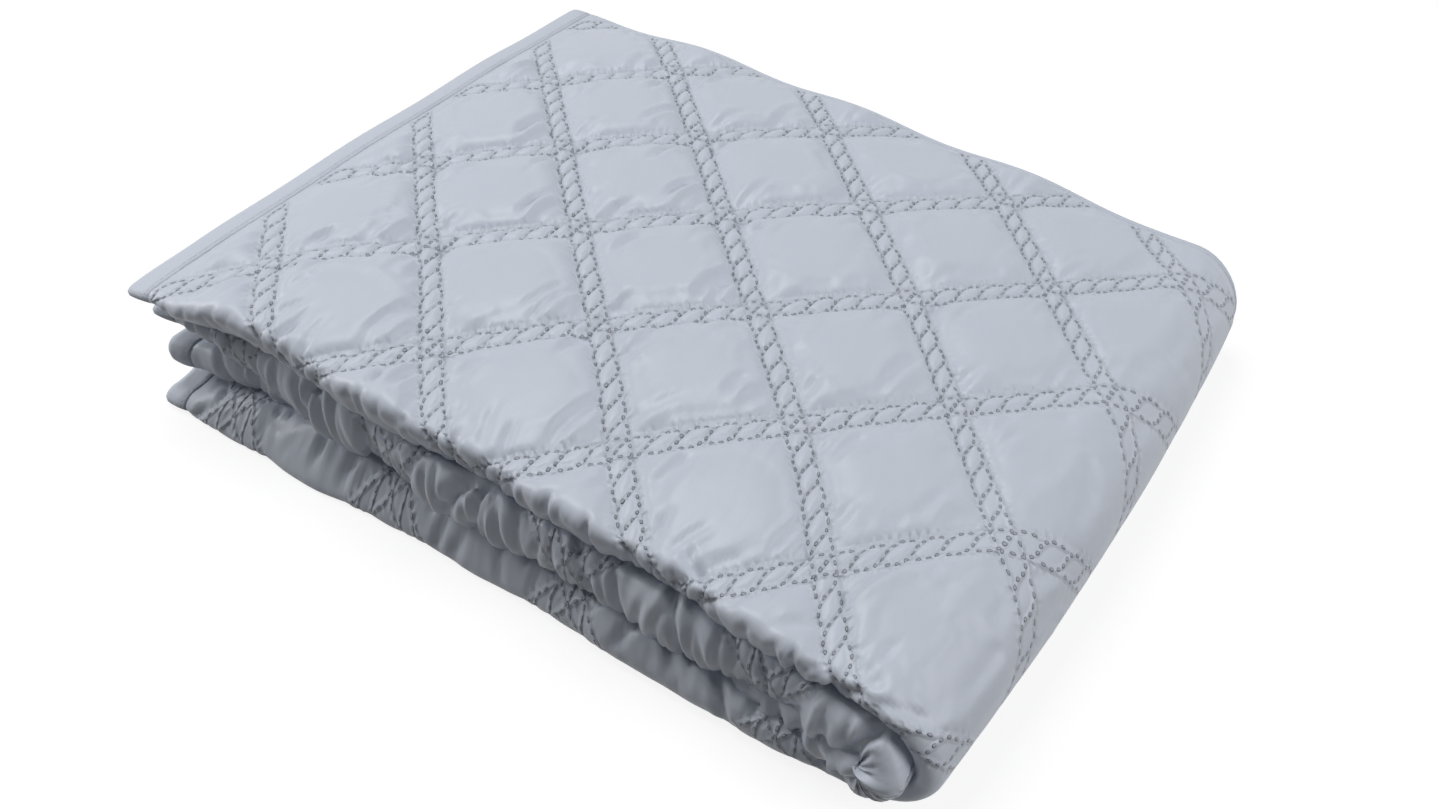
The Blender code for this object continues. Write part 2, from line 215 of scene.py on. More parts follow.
def ease_round_folds(along, across):
    """Places on the flat pad, moved a little so that the cloth isn't stretched round the swollen folds."""
    slow_rate = (EASE_REACH - EASED_HALF) / (EASE_REACH - STRETCHED_HALF)
    for fold in (OUTER_FOLD, INNER_FOLD):
        beyond = along - fold
        far = np.abs(beyond)
        slow = EASED_HALF + (far - STRETCHED_HALF) * slow_rate
        eased = np.where(far < STRETCHED_HALF, far * EASED_HALF / STRETCHED_HALF, slow)
        along = np.where(far < EASE_REACH, along + np.sign(beyond) * (eased - far), along)
    rise = smooth_step((across - WRAP_EASE_START) / WRAP_EASE_RISE)
    fall = smooth_step((WRAP_EASE_END - across) / WRAP_EASE_FALL)
    return along, across - WRAP_EASE * rise * fall


def folded(along, across, offset):
    """Where places on the flat pad lie in the folded pack."""
    along, across = ease_round_folds(along, across)
    y, height = fold_to_and_fro(along, offset)
    y, height = bulge_folds(along, across, y, height)
    x, z = fold_in_half(across, height)
    return settle(x, y, z)


# Face cloth
# Pale blue-grey microfibre, quilted to the wadding in diamonds: each band of the quilting is two
# rows of small welded holes that wind about each other like the links of a chain.
LINKS_PER_PITCH = 6
LINK_LENGTH = QUILT_PITCH / LINKS_PER_PITCH
LINK_RISE = 0.0014
LINK_EDGE = 0.0022
BAND_HALF_WIDTH = 0.0049
BAND_DEPTH = 0.0022
LINKS_END_SHARE = 1.3
LINKS_FADE_SHARE = 0.5
BEND_SHARE = 0.66
MOST_BEND = 1.15
PUFF_RISE = 0.0022
PUFF_EDGE_POWER = 4.4
PUFF_TOP_POWER = 0.9
FACE_STEP = 0.0017
FOLD_STEP = FACE_STEP / 1.5
BESIDE_STEP = FACE_STEP * 1.5
BESIDE_REACH = 0.035
HIDDEN_STEP = 0.012
LOWER_STEP = 0.0023

random = np.random.default_rng(7)


def steps_between(start, end, step):
    """Places from start to end, about a step apart, without the end itself."""
    count = max(1, round((end - start) / step))
    return start + (end - start) * np.arange(count) / count


def face_lines_along():
    """Fine on the top panel and round the folds that show, and wide apart inside the pack."""
    runs = [steps_between(0.0, TOP_END, FACE_STEP)]
    for panel in range(1, PANEL_COUNT):
        start = HEM_STRIP + panel * PERIOD
        end = start + PANEL_LENGTH
        fold_shows = panel % 2 == 1
        runs.append(steps_between(start - FOLD_LENGTH, start, FOLD_STEP))
        if fold_shows:
            runs.append(steps_between(start, start + BESIDE_REACH, BESIDE_STEP))
            runs.append(steps_between(start + BESIDE_REACH, end, HIDDEN_STEP))
        else:
            runs.append(steps_between(start, end - BESIDE_REACH, HIDDEN_STEP))
            runs.append(steps_between(end - BESIDE_REACH, end, BESIDE_STEP))
    return np.concatenate(runs + [[PAD_LENGTH]])


def face_lines_across():
    """Fine above and round the fold in half, and wider apart below."""
    wrap_end = HALF_LENGTH + WRAP_LENGTH
    upper = steps_between(0.0, wrap_end, FACE_STEP)
    lower = steps_between(wrap_end, PAD_WIDTH, LOWER_STEP)
    return np.concatenate([upper, lower, [PAD_WIDTH]])


def band_places(along, across):
    """Place beside and along the nearest band of each of the two families of quilting."""
    rising = (across - QUILT_ACROSS + along - QUILT_ALONG) / math.sqrt(2)
    falling = (across - QUILT_ACROSS - along + QUILT_ALONG) / math.sqrt(2)
    beside_rising = rising - QUILT_PITCH * np.round(rising / QUILT_PITCH)
    beside_falling = falling - QUILT_PITCH * np.round(falling / QUILT_PITCH)
    return (beside_rising, falling), (beside_falling, rising)


def beside_nearest_band(along, across):
    return np.minimum(*(np.abs(beside) for beside, place in band_places(along, across)))


def strand_offset(place):
    """Place beside a band of one winding row of holes, at places along the band from its middle."""
    bend = np.clip(place / (BEND_SHARE * LINK_LENGTH), -MOST_BEND, MOST_BEND)
    return -BAND_HALF_WIDTH * np.sin(bend * math.pi / 2)


def quilt_height(along, across):
    """Height of the face cloth over the bottom of its bands: links in the bands, puffs between."""
    room = QUILT_PITCH / 2 - BAND_HALF_WIDTH
    puff = 1.0
    links = 0.0
    for beside, place in band_places(along, across):
        wrapped = place - LINK_LENGTH * np.round(place / LINK_LENGTH)
        away = 1.0
        for turn in (-1, 0, 1):
            away = np.minimum(away, np.abs(beside - strand_offset(wrapped - turn * LINK_LENGTH)))
        inside = LINKS_END_SHARE * BAND_HALF_WIDTH - np.abs(beside)
        inside = smooth_step(inside / (LINKS_FADE_SHARE * BAND_HALF_WIDTH))
        links = np.maximum(links, inside * smooth_step(away / LINK_EDGE))
        clear = np.clip((np.abs(beside) - BAND_HALF_WIDTH) / room, 0, 1)
        puff = puff * (1 - (1 - clear) ** PUFF_EDGE_POWER)
    return LINK_RISE * links * (1 - puff) + (BAND_DEPTH + PUFF_RISE) * puff**PUFF_TOP_POWER


def from_edge(along, across):
    """How far places on the flat pad are from its nearest edge."""
    return np.minimum(np.minimum(along, PAD_LENGTH - along), np.minimum(across, PAD_WIDTH - across))


def hem_share(along, across, reach):
    """1 in the hem's strip along the pad's edge, falling smoothly to 0 over the reach."""
    return smooth_step(1 - (from_edge(along, across) - HEM_STRIP) / reach)


# A crease is a valley, bowed a little to one side, with a low rim on both of its sides.
CREASE_BOW_SHARE = 0.05
CREASE_END_SHARE = 0.3
RIM_SHARE = 0.28
RIM_PLACE_SHARE = 1.9


def add_creases(height, along, across, creases):
    """Presses soft creases into the heights, each given by its two ends, its depth and half its width."""
    for start, end, depth, half_width in creases:
        run = np.subtract(end, start)
        length = np.hypot(*run)
        reach = length / 2 + 3 * half_width
        middle = np.add(start, end) / 2
        rows = np.flatnonzero(np.abs(along[:, 0] - middle[0]) < reach)
        columns = np.flatnonzero(np.abs(across[0] - middle[1]) < reach)
        if not len(rows) or not len(columns):
            continue
        part = np.s_[rows[0] : rows[-1] + 1, columns[0] : columns[-1] + 1]
        beyond_along = along[part] - start[0]
        beyond_across = across[part] - start[1]
        share = (beyond_along * run[0] + beyond_across * run[1]) / length**2
        beside = (beyond_across * run[0] - beyond_along * run[1]) / length
        beside = beside + CREASE_BOW_SHARE * length * np.sin(math.pi * np.clip(share, 0, 1))
        ends = smooth_step(share / CREASE_END_SHARE) * smooth_step((1 - share) / CREASE_END_SHARE)
        from_rim = (np.abs(beside) - RIM_PLACE_SHARE * half_width) / half_width
        valley = np.exp(-((beside / half_width) ** 2)) - RIM_SHARE * np.exp(-(from_rim**2))
        height[part] -= depth * ends * valley


# Cloth gathers on the inside of a bend, in creases of uneven force. The harder ones are wider and
# deeper, and may reach further.
GATHER_HALF_WIDTHS = (0.0013, 0.0018)
GATHER_FORCE_SHAPE = (1.3, 2.2)
GATHER_FORCE_WIDTH = 0.0012
LEAST_GATHER_FORCE = 0.2
LEAST_REACH_SHARE = 0.3
WEAK_REACH_SHARE = 0.6
FORCE_REACH_SHARE = 0.4
GATHER_SLANT = 0.45
GATHER_SPACING_SHARES = (0.35, 1.65)


def gathers_round(middle, start, end, spacing, reach, depth):
    """Short creases that cross a fold at uneven places, from start to end across the pad."""
    creases = []
    place = start
    while place < end:
        force = random.beta(*GATHER_FORCE_SHAPE)
        most_reach_share = WEAK_REACH_SHARE + FORCE_REACH_SHARE * force
        above = reach * random.uniform(LEAST_REACH_SHARE, most_reach_share)
        under = reach * random.uniform(LEAST_REACH_SHARE, most_reach_share)
        slant = random.normal(0, GATHER_SLANT)
        half_width = random.uniform(*GATHER_HALF_WIDTHS) + GATHER_FORCE_WIDTH * force
        head = (middle - above, place - slant * above)
        foot = (middle + under, place + slant * under)
        creases.append((head, foot, depth * (LEAST_GATHER_FORCE + force), half_width))
        place += spacing * random.uniform(*GATHER_SPACING_SHARES)
    return creases


UNEVEN_WAVES = 4
UNEVEN_SHORTENING = 1.55
UNEVEN_WEAKENING = 1.3


def unevenness(across, longest):
    """A slow wave along a fold, of many lengths and about one high."""
    wave = 0.0
    for n in range(UNEVEN_WAVES):
        phase = random.uniform(0, 2 * math.pi)
        length = longest / UNEVEN_SHORTENING**n
        wave = wave + np.sin(2 * math.pi * across / length + phase) / UNEVEN_WEAKENING**n
    return wave / 2


WRINKLE_ROWS = 8
WRINKLE_COLUMNS = 9
FEWEST_WRINKLES = 4
MORE_WRINKLES = 6
NEARNESS_AT_HEAD = 0.5
NEARNESS_GAIN = 0.6
NEARNESS_AT_OPEN_END = 1.15
NEARNESS_LOSS = 0.45
WRINKLE_SIDE_SHARE = 0.6
WRINKLE_ROOM_SHARES = (0.5, 0.95)
WRINKLE_CLEARANCE = 0.004
WRINKLE_BEARING = -0.15
WRINKLE_BEARING_SPREAD = 0.10
WRINKLE_DEPTHS = (0.0005, 0.0018)
LEAST_WRINKLE = 0.0001
WRINKLE_HALF_WIDTHS = (0.0018, 0.0032)


def wrinkles_in_diamonds():
    """Soft wrinkles in the diamonds, nearly parallel to the pad's length, most where it bends over."""
    creases = []
    step = QUILT_PITCH / math.sqrt(2)
    for row in range(WRINKLE_ROWS):
        for column in range(WRINKLE_COLUMNS):
            if (row + column) % 2 == 0:
                continue
            middle = (QUILT_ALONG + (row - 1) * step, QUILT_ACROSS + column * step)
            row_share = row / (WRINKLE_ROWS - 1)
            column_share = column / (WRINKLE_COLUMNS - 1)
            nearness = NEARNESS_AT_HEAD + NEARNESS_GAIN * row_share
            nearness = nearness * (NEARNESS_AT_OPEN_END - NEARNESS_LOSS * column_share)
            for _ in range(int(FEWEST_WRINKLES + MORE_WRINKLES * nearness)):
                sideways = random.uniform(-WRINKLE_SIDE_SHARE, WRINKLE_SIDE_SHARE) * step
                room = step - abs(sideways) - WRINKLE_CLEARANCE
                half = room * random.uniform(*WRINKLE_ROOM_SHARES)
                lengthwise = random.uniform(-1, 1) * (room - half)
                bearing = random.normal(WRINKLE_BEARING, WRINKLE_BEARING_SPREAD)
                place = np.array([middle[0] + lengthwise, middle[1] + sideways])
                run = half * np.array([math.cos(bearing), math.sin(bearing)])
                size = random.uniform(*WRINKLE_DEPTHS) * nearness + LEAST_WRINKLE
                half_width = random.uniform(*WRINKLE_HALF_WIDTHS)
                creases.append((place - run, place + run, size, half_width))
    return creases


def add_object(name, data):
    """A new object in the scene, for a mesh, a lamp or the camera."""
    obj = bpy.data.objects.new(name, data)
    bpy.context.scene.collection.objects.link(obj)
    return obj


def grid_mesh(name, points, along, across, material):
    """A cloth on a grid of points, with its place on the flat pad as its texture coordinates."""
    rows, columns = points.shape[:2]
    index = np.arange(rows * columns).reshape(rows, columns)
    quads = np.stack([index[:-1, :-1], index[:-1, 1:], index[1:, 1:], index[1:, :-1]], axis=-1)
    quads = quads.reshape(-1, 4)
    mesh = bpy.data.meshes.new(name)
    mesh.vertices.add(rows * columns)
    mesh.vertices.foreach_set("co", points.astype(np.float32).ravel())
    mesh.loops.add(quads.size)
    mesh.loops.foreach_set("vertex_index", quads.ravel().astype(np.int32))
    mesh.polygons.add(len(quads))
    mesh.polygons.foreach_set("loop_start", np.arange(0, quads.size, 4, dtype=np.int32))
    mesh.update(calc_edges=True)
    mesh.validate()
    flat = np.stack([across / PAD_WIDTH, along / PAD_LENGTH], axis=-1).reshape(-1, 2)
    layer = mesh.uv_layers.new(name="OFBake")
    layer.data.foreach_set("uv", flat[quads.ravel()].astype(np.float32).ravel())
    mesh.shade_smooth()
    if material:
        mesh.materials.append(material)
    return add_object(name, mesh)


def calculate(tree, operation, *values):
    """A Math node on sockets or numbers, as its output socket."""
    node = tree.nodes.new("ShaderNodeMath")
    node.operation = operation
    for socket, value in zip(node.inputs, values):
        if isinstance(value, bpy.types.NodeSocket):
            tree.links.new(value, socket)
        else:
            socket.default_value = value
    return node.outputs[0]


def multiply(tree, value, factor):
    return calculate(tree, "MULTIPLY", value, factor)


def wrap_about_zero(tree, value, half_period):
    """A repeating place, brought within half a period of zero."""
    return calculate(tree, "WRAP", value, half_period, multiply(tree, half_period, -1.0))


def ramp(tree, value, start, end):
    """0 at start rising smoothly to 1 at end, or falling where end is the lower."""
    node = tree.nodes.new("ShaderNodeMapRange")
    node.interpolation_type = "SMOOTHSTEP"
    if start < end:
        node.inputs["From Min"].default_value = start
        node.inputs["From Max"].default_value = end
    else:
        node.inputs["From Min"].default_value = end
        node.inputs["From Max"].default_value = start
        node.inputs["To Min"].default_value = 1.0
        node.inputs["To Max"].default_value = 0.0
    tree.links.new(value, node.inputs["Value"])
    return node.outputs["Result"]


def group_tree(name, inputs, outputs):
    """A shader node group with number sockets of these names, and its input and output nodes."""
    tree = bpy.data.node_groups.new(name, "ShaderNodeTree")
    for socket, default in inputs.items():
        made = tree.interface.new_socket(name=socket, in_out="INPUT", socket_type="NodeSocketFloat")
        made.default_value = default
    for socket in outputs:
        tree.interface.new_socket(name=socket, in_out="OUTPUT", socket_type="NodeSocketFloat")
    return tree, tree.nodes.new("NodeGroupInput"), tree.nodes.new("NodeGroupOutput")


# The holes of one row over half a link, from the link's middle: millimetres along the band and beside
# it, and the hole's lean in degrees. The other half and the other row mirror them.
STRAND_HOLES = ((1.25, 1.47, 42), (4.5, 3.7, 26), (8.3, 4.9, 7), (12.3, 4.66, -3))
HOLE_HALF_LENGTH = 0.00100
HOLE_HALF_WIDTH = 0.00056
HOLE_OUTSIDE = 1.7
HOLE_INSIDE = 0.3
PUCKER_START = -0.0006
PUCKER_TOP = 0.0008
PUCKER_END = 0.0045
PUCKERS_PER_LINK = 3


def weld_hole_group():
    """How far a place beside and along a band is from one hole, in the hole's own half sizes, squared."""
    inputs = {
        "Along": 0.0, "Beside": 0.0, "Hole Along": 0.0, "Hole Beside": 0.0, "Lean": 0.0,
        "Link Length": LINK_LENGTH,
    }
    tree, given, result = group_tree("weld_hole", inputs, ["Distance"])
    half_link = multiply(tree, given.outputs["Link Length"], 0.5)
    step = calculate(tree, "SUBTRACT", given.outputs["Along"], given.outputs["Hole Along"])
    step = wrap_about_zero(tree, step, half_link)
    away = calculate(tree, "SUBTRACT", given.outputs["Beside"], given.outputs["Hole Beside"])
    cosine = calculate(tree, "COSINE", given.outputs["Lean"])
    sine = calculate(tree, "SINE", given.outputs["Lean"])
    length = multiply(tree, step, cosine)
    length = calculate(tree, "MULTIPLY_ADD", away, sine, length)
    width = multiply(tree, away, cosine)
    width = calculate(tree, "SUBTRACT", width, multiply(tree, step, sine))
    length = calculate(tree, "DIVIDE", length, HOLE_HALF_LENGTH)
    width = calculate(tree, "DIVIDE", width, HOLE_HALF_WIDTH)
    squared = multiply(tree, length, length)
    squared = calculate(tree, "MULTIPLY_ADD", width, width, squared)
    tree.links.new(squared, result.inputs["Distance"])
    return tree


def welded_band_group():
    """Holes, grooves and puckers of one family of bands, from places beside and along a band."""
    inputs = {
        "Beside": 0.0, "Along": 0.0, "Pitch": QUILT_PITCH, "Link Length": LINK_LENGTH,
        "Half Width": BAND_HALF_WIDTH,
    }
    tree, given, result = group_tree("welded_band", inputs, ["Holes", "Groove", "Pucker"])
    link = given.outputs["Link Length"]
    half_pitch = multiply(tree, given.outputs["Pitch"], 0.5)
    beside = wrap_about_zero(tree, given.outputs["Beside"], half_pitch)
    nearest = None
    for hole_along, hole_beside, lean in STRAND_HOLES:
        for side in (1, -1):
            node = tree.nodes.new("ShaderNodeGroup")
            node.node_tree = weld_hole
            tree.links.new(given.outputs["Along"], node.inputs["Along"])
            tree.links.new(beside, node.inputs["Beside"])
            tree.links.new(link, node.inputs["Link Length"])
            node.inputs["Hole Along"].default_value = side * hole_along * MILLIMETRE
            node.inputs["Hole Beside"].default_value = -side * hole_beside * MILLIMETRE
            node.inputs["Lean"].default_value = -math.radians(lean)
            found = node.outputs["Distance"]
            nearest = found if nearest is None else calculate(tree, "MINIMUM", nearest, found)
    tree.links.new(ramp(tree, nearest, HOLE_OUTSIDE, HOLE_INSIDE), result.inputs["Holes"])
    half_link = multiply(tree, link, 0.5)
    wrapped = wrap_about_zero(tree, given.outputs["Along"], half_link)
    away = None
    for turn in (-1, 0, 1):
        place = calculate(tree, "MULTIPLY_ADD", link, float(-turn), wrapped)
        bend = calculate(tree, "DIVIDE", place, multiply(tree, link, BEND_SHARE))
        bend = calculate(tree, "MAXIMUM", calculate(tree, "MINIMUM", bend, MOST_BEND), -MOST_BEND)
        wave = calculate(tree, "SINE", multiply(tree, bend, math.pi / 2))
        row = multiply(tree, wave, given.outputs["Half Width"])
        found = calculate(tree, "ABSOLUTE", calculate(tree, "ADD", beside, row))
        away = found if away is None else calculate(tree, "MINIMUM", away, found)
    tree.links.new(ramp(tree, away, LINK_EDGE, 0.0), result.inputs["Groove"])
    aside = calculate(tree, "ABSOLUTE", beside)
    outward = calculate(tree, "SUBTRACT", aside, given.outputs["Half Width"])
    rise = ramp(tree, outward, PUCKER_START, PUCKER_TOP)
    fade = multiply(tree, rise, ramp(tree, outward, PUCKER_END, PUCKER_TOP))
    turns = calculate(tree, "DIVIDE", given.outputs["Along"], link)
    ridge = calculate(tree, "COSINE", multiply(tree, turns, PUCKERS_PER_LINK * 2 * math.pi))
    tree.links.new(multiply(tree, ridge, fade), result.inputs["Pucker"])
    return tree


weld_hole = weld_hole_group()
welded_band = welded_band_group()


def new_material(name):
    """A material, its node tree and its shader."""
    material = bpy.data.materials.new(name)
    material.use_nodes = True
    tree = material.node_tree
    return material, tree, tree.nodes["Principled BSDF"]


def set_colour(tree, shader, mask, plain, marked):
    """The shader's colour, from the plain one where the mask is 0 to the marked one where it is 1."""
    colour = tree.nodes.new("ShaderNodeMix")
    colour.data_type = "RGBA"
    colour.inputs["A"].default_value = (*plain, 1)
    colour.inputs["B"].default_value = (*marked, 1)
    tree.links.new(mask, colour.inputs["Factor"])
    tree.links.new(colour.outputs["Result"], shader.inputs["Base Color"])


def set_relief(tree, shader, height):
    """The shader's normal, bent by a height in metres."""
    bump = tree.nodes.new("ShaderNodeBump")
    bump.inputs["Distance"].default_value = 1.0
    tree.links.new(height, bump.inputs["Height"])
    tree.links.new(bump.outputs["Normal"], shader.inputs["Normal"])


def flat_places(tree):
    """Sockets with the place across and along the flat pad, in metres."""
    uv = tree.nodes.new("ShaderNodeUVMap")
    uv.uv_map = "OFBake"
    parts = tree.nodes.new("ShaderNodeSeparateXYZ")
    tree.links.new(uv.outputs["UV"], parts.inputs["Vector"])
    across = multiply(tree, parts.outputs["X"], PAD_WIDTH)
    along = multiply(tree, parts.outputs["Y"], PAD_LENGTH)
    return across, along


NOISE_LENGTH_SHARE = 0.6


def noise_at(tree, along, across, scale, detail):
    """Noise over the flat pad, drawn out along it, at a scale in features to the metre."""
    place = tree.nodes.new("ShaderNodeCombineXYZ")
    tree.links.new(multiply(tree, along, NOISE_LENGTH_SHARE), place.inputs["X"])
    tree.links.new(across, place.inputs["Y"])
    node = tree.nodes.new("ShaderNodeTexNoise")
    node.inputs["Scale"].default_value = scale
    node.inputs["Detail"].default_value = detail
    tree.links.new(place.outputs["Vector"], node.inputs["Vector"])
    return node.outputs["Fac"]


def quilting_masks(tree, along, across):
    """Holes, grooves and puckers of both families of bands."""
    x = calculate(tree, "SUBTRACT", across, QUILT_ACROSS)
    y = calculate(tree, "SUBTRACT", along, QUILT_ALONG)
    root_half = 1 / math.sqrt(2)
    rising = multiply(tree, calculate(tree, "ADD", x, y), root_half)
    falling = multiply(tree, calculate(tree, "SUBTRACT", x, y), root_half)
    families = []
    for beside, place in ((rising, falling), (falling, rising)):
        node = tree.nodes.new("ShaderNodeGroup")
        node.node_tree = welded_band
        tree.links.new(beside, node.inputs["Beside"])
        tree.links.new(place, node.inputs["Along"])
        families.append(node.outputs)
    masks = (("Holes", "MAXIMUM"), ("Groove", "MAXIMUM"), ("Pucker", "ADD"))
    return [calculate(tree, operation, *(family[name] for family in families)) for name, operation in masks]


MICROFIBRE = (0.585, 0.63, 0.715)
# Colour of the weld holes: partly the layers seen through them, partly painted shade in the holes.
HOLE_TONE_AND_SHADE = (0.395, 0.425, 0.49)
GROOVE_DEPTH = 0.0008
HOLE_DEPTH = 0.0011
PUCKER_DEPTH = 0.00038
RUMPLE_DEPTH = 0.0007
PUCKER_NOISE = 220.0
PUCKER_PATCHES = (0.35, 0.65)
RUMPLE_NOISE = 90.0
QUILTING_FADE = 0.002


def quilted_microfibre():
    material, tree, shader = new_material("quilted_microfibre")
    across, along = flat_places(tree)
    holes, groove, pucker = quilting_masks(tree, along, across)
    uneven = noise_at(tree, along, across, PUCKER_NOISE, 2.0)
    pucker = multiply(tree, pucker, ramp(tree, uneven, *PUCKER_PATCHES))
    edge = calculate(tree, "MINIMUM", across, calculate(tree, "SUBTRACT", PAD_WIDTH, across))
    edge = calculate(tree, "MINIMUM", edge, calculate(tree, "SUBTRACT", PAD_LENGTH, along))
    edge = calculate(tree, "MINIMUM", edge, along)
    quilting_start = HEM_WIDTH + QUILTING_FADE / 2
    quilted = ramp(tree, edge, quilting_start, quilting_start + QUILTING_FADE)
    holes = multiply(tree, holes, quilted)
    # The weld holes are painted darker: partly the layers that show through them, partly painted shade in the
    # holes.
    set_colour(tree, shader, holes, MICROFIBRE, HOLE_TONE_AND_SHADE)
    shader.inputs["Roughness"].default_value = 0.44
    shader.inputs["Sheen Weight"].default_value = 0.10
    shader.inputs["Sheen Roughness"].default_value = 0.4
    sunk = multiply(tree, groove, GROOVE_DEPTH)
    sunk = calculate(tree, "MULTIPLY_ADD", holes, HOLE_DEPTH, sunk)
    sunk = calculate(tree, "MULTIPLY_ADD", pucker, PUCKER_DEPTH, sunk)
    rumple = calculate(tree, "SUBTRACT", noise_at(tree, along, across, RUMPLE_NOISE, 3.0), 0.5)
    sunk = calculate(tree, "MULTIPLY_ADD", rumple, RUMPLE_DEPTH, sunk)
    set_relief(tree, shader, multiply(tree, multiply(tree, sunk, quilted), -1.0))
    return material


# How much of the quilting's relief each part of the cloth shows: all of it on top, less round the inner
# fold and the fold in half, and little below, where the pack's weight presses it.
FOLD_FADE = 0.030
LOWER_FADE = 0.04
WRAP_LEAD = 0.02
WRAP_FADE = 0.03
INNER_FOLD_SHARE = 0.7
WRAP_LOSS_SHARE = 0.7
LOWER_LOSS_SHARE = 0.8

along, across = np.meshgrid(face_lines_along(), face_lines_across(), indexing="ij")
beyond_top = smooth_step((along - TOP_END) / FOLD_FADE)
beside_inner = smooth_step(np.abs(along - INNER_FOLD) / FOLD_FADE)
wrap_begun = smooth_step((across - HALF_LENGTH + WRAP_LEAD) / WRAP_FADE)
wrap_left = smooth_step((HALF_LENGTH + WRAP_LENGTH + LOWER_FADE - across) / LOWER_FADE)
lower = smooth_step((across - HALF_LENGTH) / LOWER_FADE)
relief = np.maximum(1 - beyond_top, INNER_FOLD_SHARE * (1 - beside_inner))
relief = relief * (1 - WRAP_LOSS_SHARE * wrap_begun * wrap_left) * (1 - LOWER_LOSS_SHARE * lower)
height = quilt_height(along, across) * relief + BAND_DEPTH * (1 - relief)

# The wrinkles of the diamonds, and then the gathers round both folds of the near face. A row of gathers
# is its fold's place along the pad, its start and end across it, and its spacing, reach and depth. They
# are all flatter where a welded band holds the cloth.
MOST_WRINKLE = 0.0014
GATHERS = (
    (OUTER_FOLD - 0.001, 0.02, 0.44, 0.009, 0.015, 0.0022),
    (OUTER_FOLD + 0.010, 0.49, 0.89, 0.012, 0.020, 0.0030),
    (OUTER_FOLD + 0.003, 0.50, 0.89, 0.014, 0.012, 0.0020),
    (INNER_FOLD, 0.01, 0.425, 0.008, 0.024, 0.0040),
    (INNER_FOLD, 0.47, 0.89, 0.009, 0.022, 0.0036),
    (INNER_FOLD + 0.004, 0.43, 0.47, 0.009, 0.016, 0.0016),
    (OUTER_FOLD - 0.020, 0.04, 0.44, 0.014, 0.026, 0.0016),
)
BAND_CREASE_SHARE = 0.3
BAND_CREASE_LEAD = 0.001
BAND_CREASE_FADE = 0.005

creases = np.zeros_like(height)
add_creases(creases, along, across, wrinkles_in_diamonds())
creases = MOST_WRINKLE * np.tanh(creases / MOST_WRINKLE)
for row in GATHERS:
    add_creases(creases, along, across, gathers_round(*row))
from_band = beside_nearest_band(along, across) - BAND_HALF_WIDTH
free = smooth_step((from_band + BAND_CREASE_LEAD) / BAND_CREASE_FADE)
height += creases * (BAND_CREASE_SHARE + (1 - BAND_CREASE_SHARE) * free)

# The slow waves along both folds, and five pleats at the near corner, each from one place along and
# across the pad to another, with its depth and half its width.
UNEVEN_REACH = 0.022
OUTER_UNEVEN_PLACE = OUTER_FOLD + 0.006
OUTER_UNEVEN = 0.0010
OUTER_UNEVEN_LENGTH = 0.090
OUTER_UNEVEN_UPPER_SHARE = 0.4
INNER_UNEVEN = 0.0014
INNER_UNEVEN_LENGTH = 0.070
PLEATS = (
    ((0.3480, 0.2780), (0.3790, 0.2858), 0.0030, 0.0020),
    ((0.3490, 0.3858), (0.3760, 0.3868), 0.0026, 0.0020),
    ((0.3680, 0.3950), (0.3510, 0.4190), 0.0030, 0.0026),
    ((0.3390, 0.3180), (0.3500, 0.3400), 0.0014, 0.0022),
    ((0.3560, 0.4180), (0.3400, 0.4420), 0.0016, 0.0024),
)

near_outer = smooth_step(1 - np.abs(along - OUTER_UNEVEN_PLACE) / UNEVEN_REACH)
near_inner = smooth_step(1 - np.abs(along - INNER_FOLD) / UNEVEN_REACH)
outer_share = OUTER_UNEVEN_UPPER_SHARE + (1 - OUTER_UNEVEN_UPPER_SHARE) * lower
height += OUTER_UNEVEN * near_outer * unevenness(across, OUTER_UNEVEN_LENGTH) * outer_share
height += INNER_UNEVEN * near_inner * unevenness(across, INNER_UNEVEN_LENGTH)
add_creases(height, along, across, PLEATS)

# Under the hem tapes the cloth is pressed thin. It comes up again over a short way past the head tape
# and a longer one past the upper side tape, and stands a little proud right beside each tape.
HEAD_HEM_FADE = 0.005
SIDE_HEM_FADE = 0.014
FACE_UNDER_TAPE = 0.0018
TAPE_SIDE_RISE = 0.0005
TAPE_SIDE_FADE = 0.0012

face_base = PLY_THICKNESS / 2 - BAND_DEPTH
pressed = hem_share(along, across, np.where(along < across, HEAD_HEM_FADE, SIDE_HEM_FADE))
beside_tape = smooth_step((from_edge(along, across) - HEM_WIDTH + TAPE_SIDE_FADE) / TAPE_SIDE_FADE)
under = FACE_UNDER_TAPE + TAPE_SIDE_RISE * beside_tape
face_points = folded(along, across, (face_base + height) * (1 - pressed) + under * pressed)

# The cloth is then let go between its bands, in a simulation of the top of the pack and of the upper
# part of the fold in half, where air pressure swells it and the bands and the border hold it.
SOFT_STEP = 0.0034
SOFT_SWELL = 0.006
SOFT_CAP = 0.0012
SOFT_SHARE = 0.85
SOFT_FRAMES = 20
SOFT_PAST_FOLD = 0.010
SOFT_WRAP_SHARE = 0.6
HELD_BESIDE_BAND = 0.0004
HELD_BORDER = 0.002


def spline_weights(places, knots):
    """Weights that carry values at even knots to places between them by a smooth spline."""
    step = knots[1] - knots[0]
    position = np.clip((places - knots[0]) / step, 0, len(knots) - 1 - 1e-6)
    first = np.floor(position).astype(int)
    t = position - first
    basis = (
        (-t + 2 * t**2 - t**3) / 2,
        (2 - 5 * t**2 + 3 * t**3) / 2,
        (t + 4 * t**2 - 3 * t**3) / 2,
        (t**3 - t**2) / 2,
    )
    weights = np.zeros((len(places), len(knots)))
    for n, share in enumerate(basis):
        np.add.at(weights, (np.arange(len(places)), np.clip(first + n - 1, 0, len(knots) - 1)), share)
    return weights


